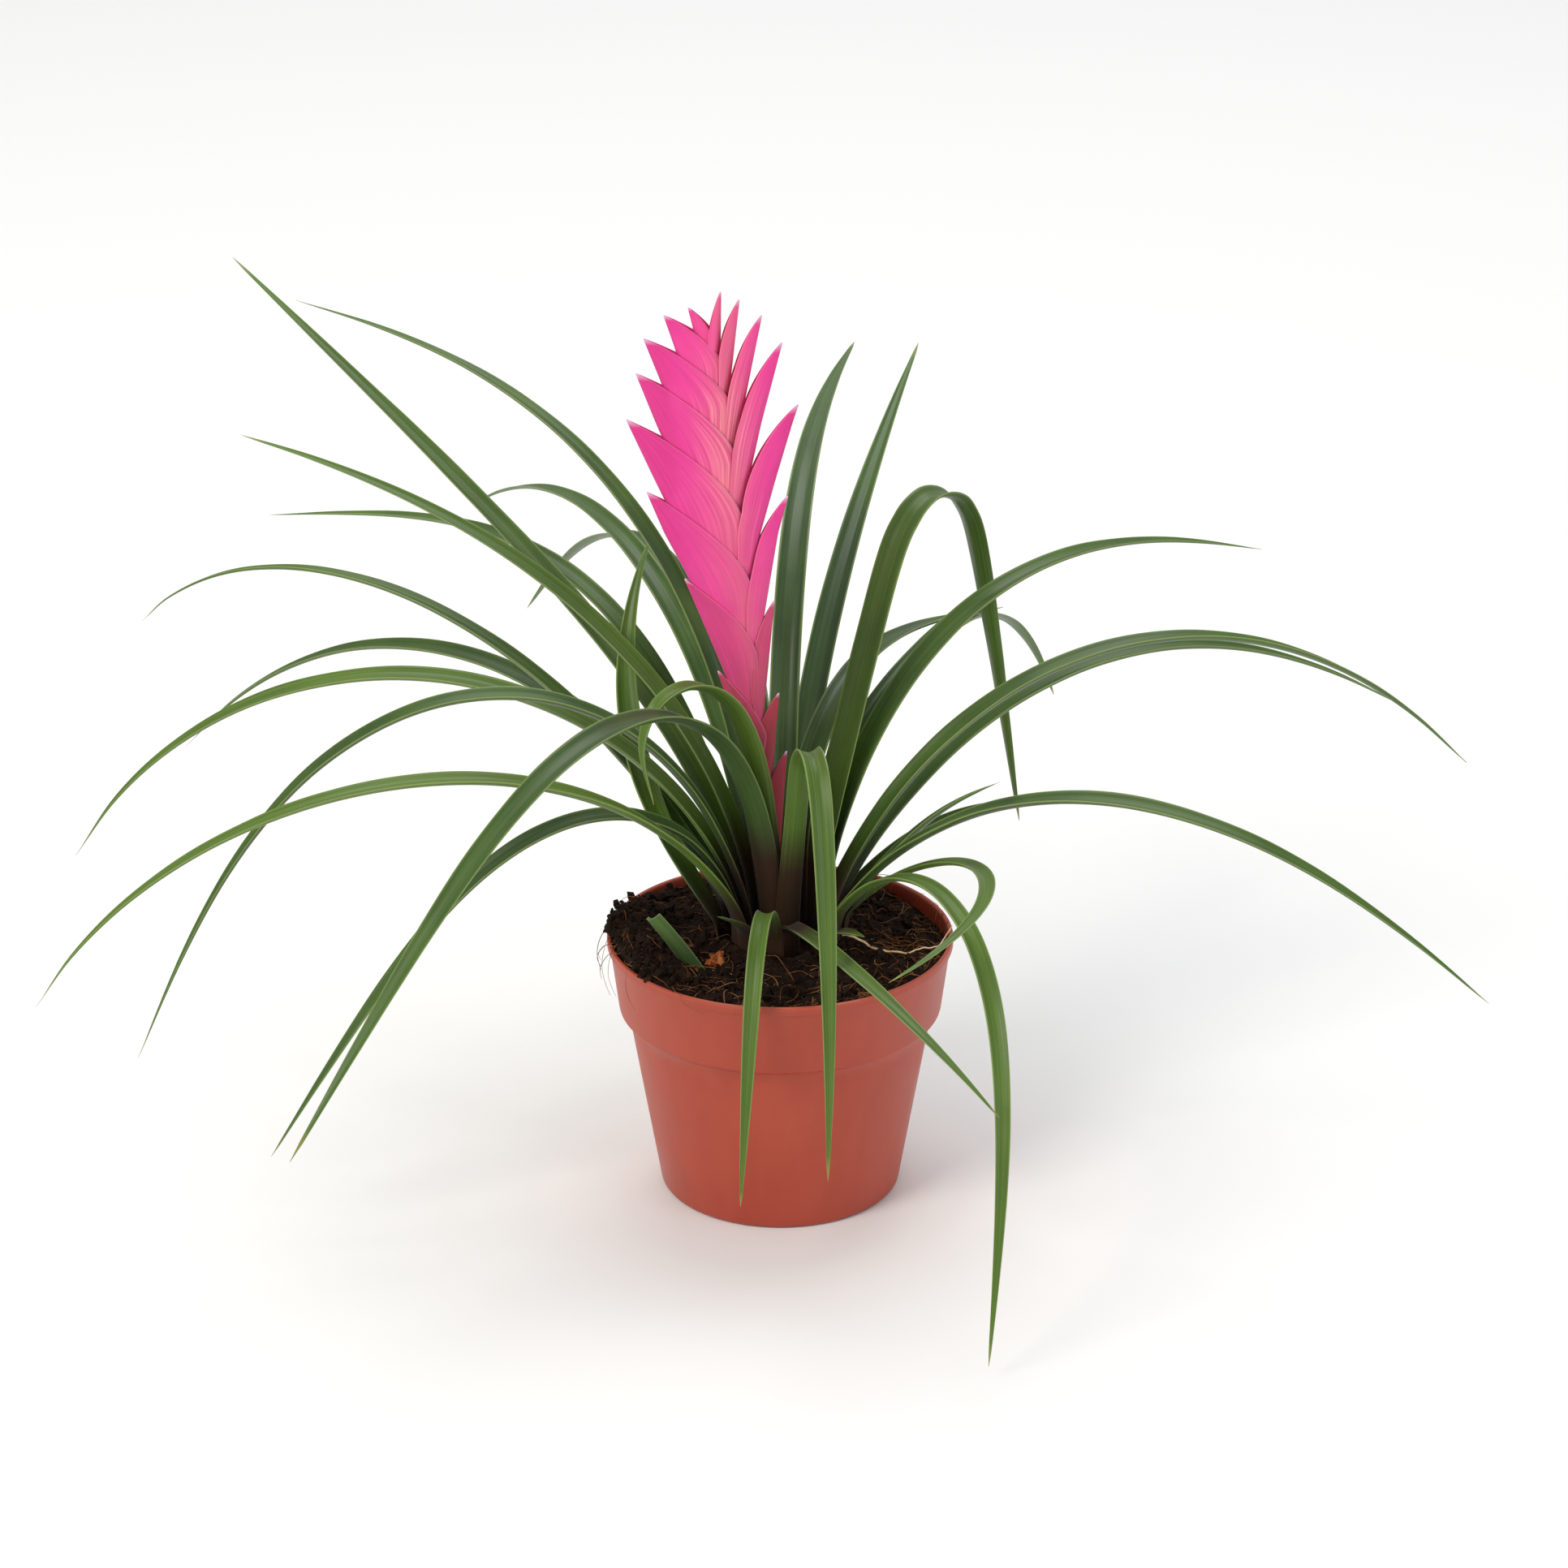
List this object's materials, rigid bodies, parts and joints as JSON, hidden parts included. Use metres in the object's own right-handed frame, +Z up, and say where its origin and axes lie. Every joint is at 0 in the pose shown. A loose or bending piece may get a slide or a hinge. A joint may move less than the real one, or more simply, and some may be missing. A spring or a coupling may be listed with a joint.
{
  "type": "potted bromeliad",
  "caption": "Small bromeliad with arching narrow leaves and a flat pink flower spike, in a terracotta-coloured plastic nursery pot with soil.",
  "frame": {"origin": "centre of the pot's underside, on the standing surface", "axes": "+Z up along the pot; -Y towards the front, where the flat face of the flower spike looks; +X to the plant's right as seen from the front"},
  "size_m": [0.3701, 0.3142, 0.243],
  "materials": {
    "pot_plastic": "satin",
    "soil_peat": "matte",
    "stem_flesh": "satin",
    "stalk_bract_skin": "satin",
    "bract_skin": "satin",
    "leaf_skin": "satin"
  },
  "bodies": {
    "root": {"bract_01": "stalk_bract_skin", "bract_02": "stalk_bract_skin", "bract_03": "stalk_bract_skin", "bract_04": "bract_skin", "bract_05": "bract_skin", "bract_06": "bract_skin", "bract_07": "bract_skin", "bract_08": "bract_skin", "bract_09": "bract_skin", "bract_10": "bract_skin", "bract_11": "bract_skin", "bract_12": "bract_skin", "bract_13": "bract_skin", "bract_14": "bract_skin", "bract_15": "bract_skin", "bract_16": "bract_skin", "bract_17": "bract_skin", "bract_18": "bract_skin", "flower_stem": "stem_flesh", "leaf_01": "leaf_skin", "leaf_02": "leaf_skin", "leaf_03": "leaf_skin", "leaf_04": "leaf_skin", "leaf_05": "leaf_skin", "leaf_06": "leaf_skin", "leaf_07": "leaf_skin", "leaf_08": "leaf_skin", "leaf_09": "leaf_skin", "leaf_10": "leaf_skin", "leaf_11": "leaf_skin", "leaf_12": "leaf_skin", "leaf_13": "leaf_skin", "leaf_14": "leaf_skin", "leaf_15": "leaf_skin", "leaf_16": "leaf_skin", "leaf_17": "leaf_skin", "leaf_18": "leaf_skin", "leaf_19": "leaf_skin", "leaf_20": "leaf_skin", "leaf_21": "leaf_skin", "leaf_22": "leaf_skin", "leaf_23": "leaf_skin", "leaf_24": "leaf_skin", "leaf_25": "leaf_skin", "leaf_26": "leaf_skin", "leaf_27": "leaf_skin", "leaf_28": "leaf_skin", "leaf_29": "leaf_skin", "leaf_30": "leaf_skin", "leaf_31": "leaf_skin", "leaf_32": "leaf_skin", "leaf_33": "leaf_skin", "leaf_34": "leaf_skin", "leaf_35": "leaf_skin", "pot": "pot_plastic", "soil": "soil_peat"}
  },
  "joints": []
}
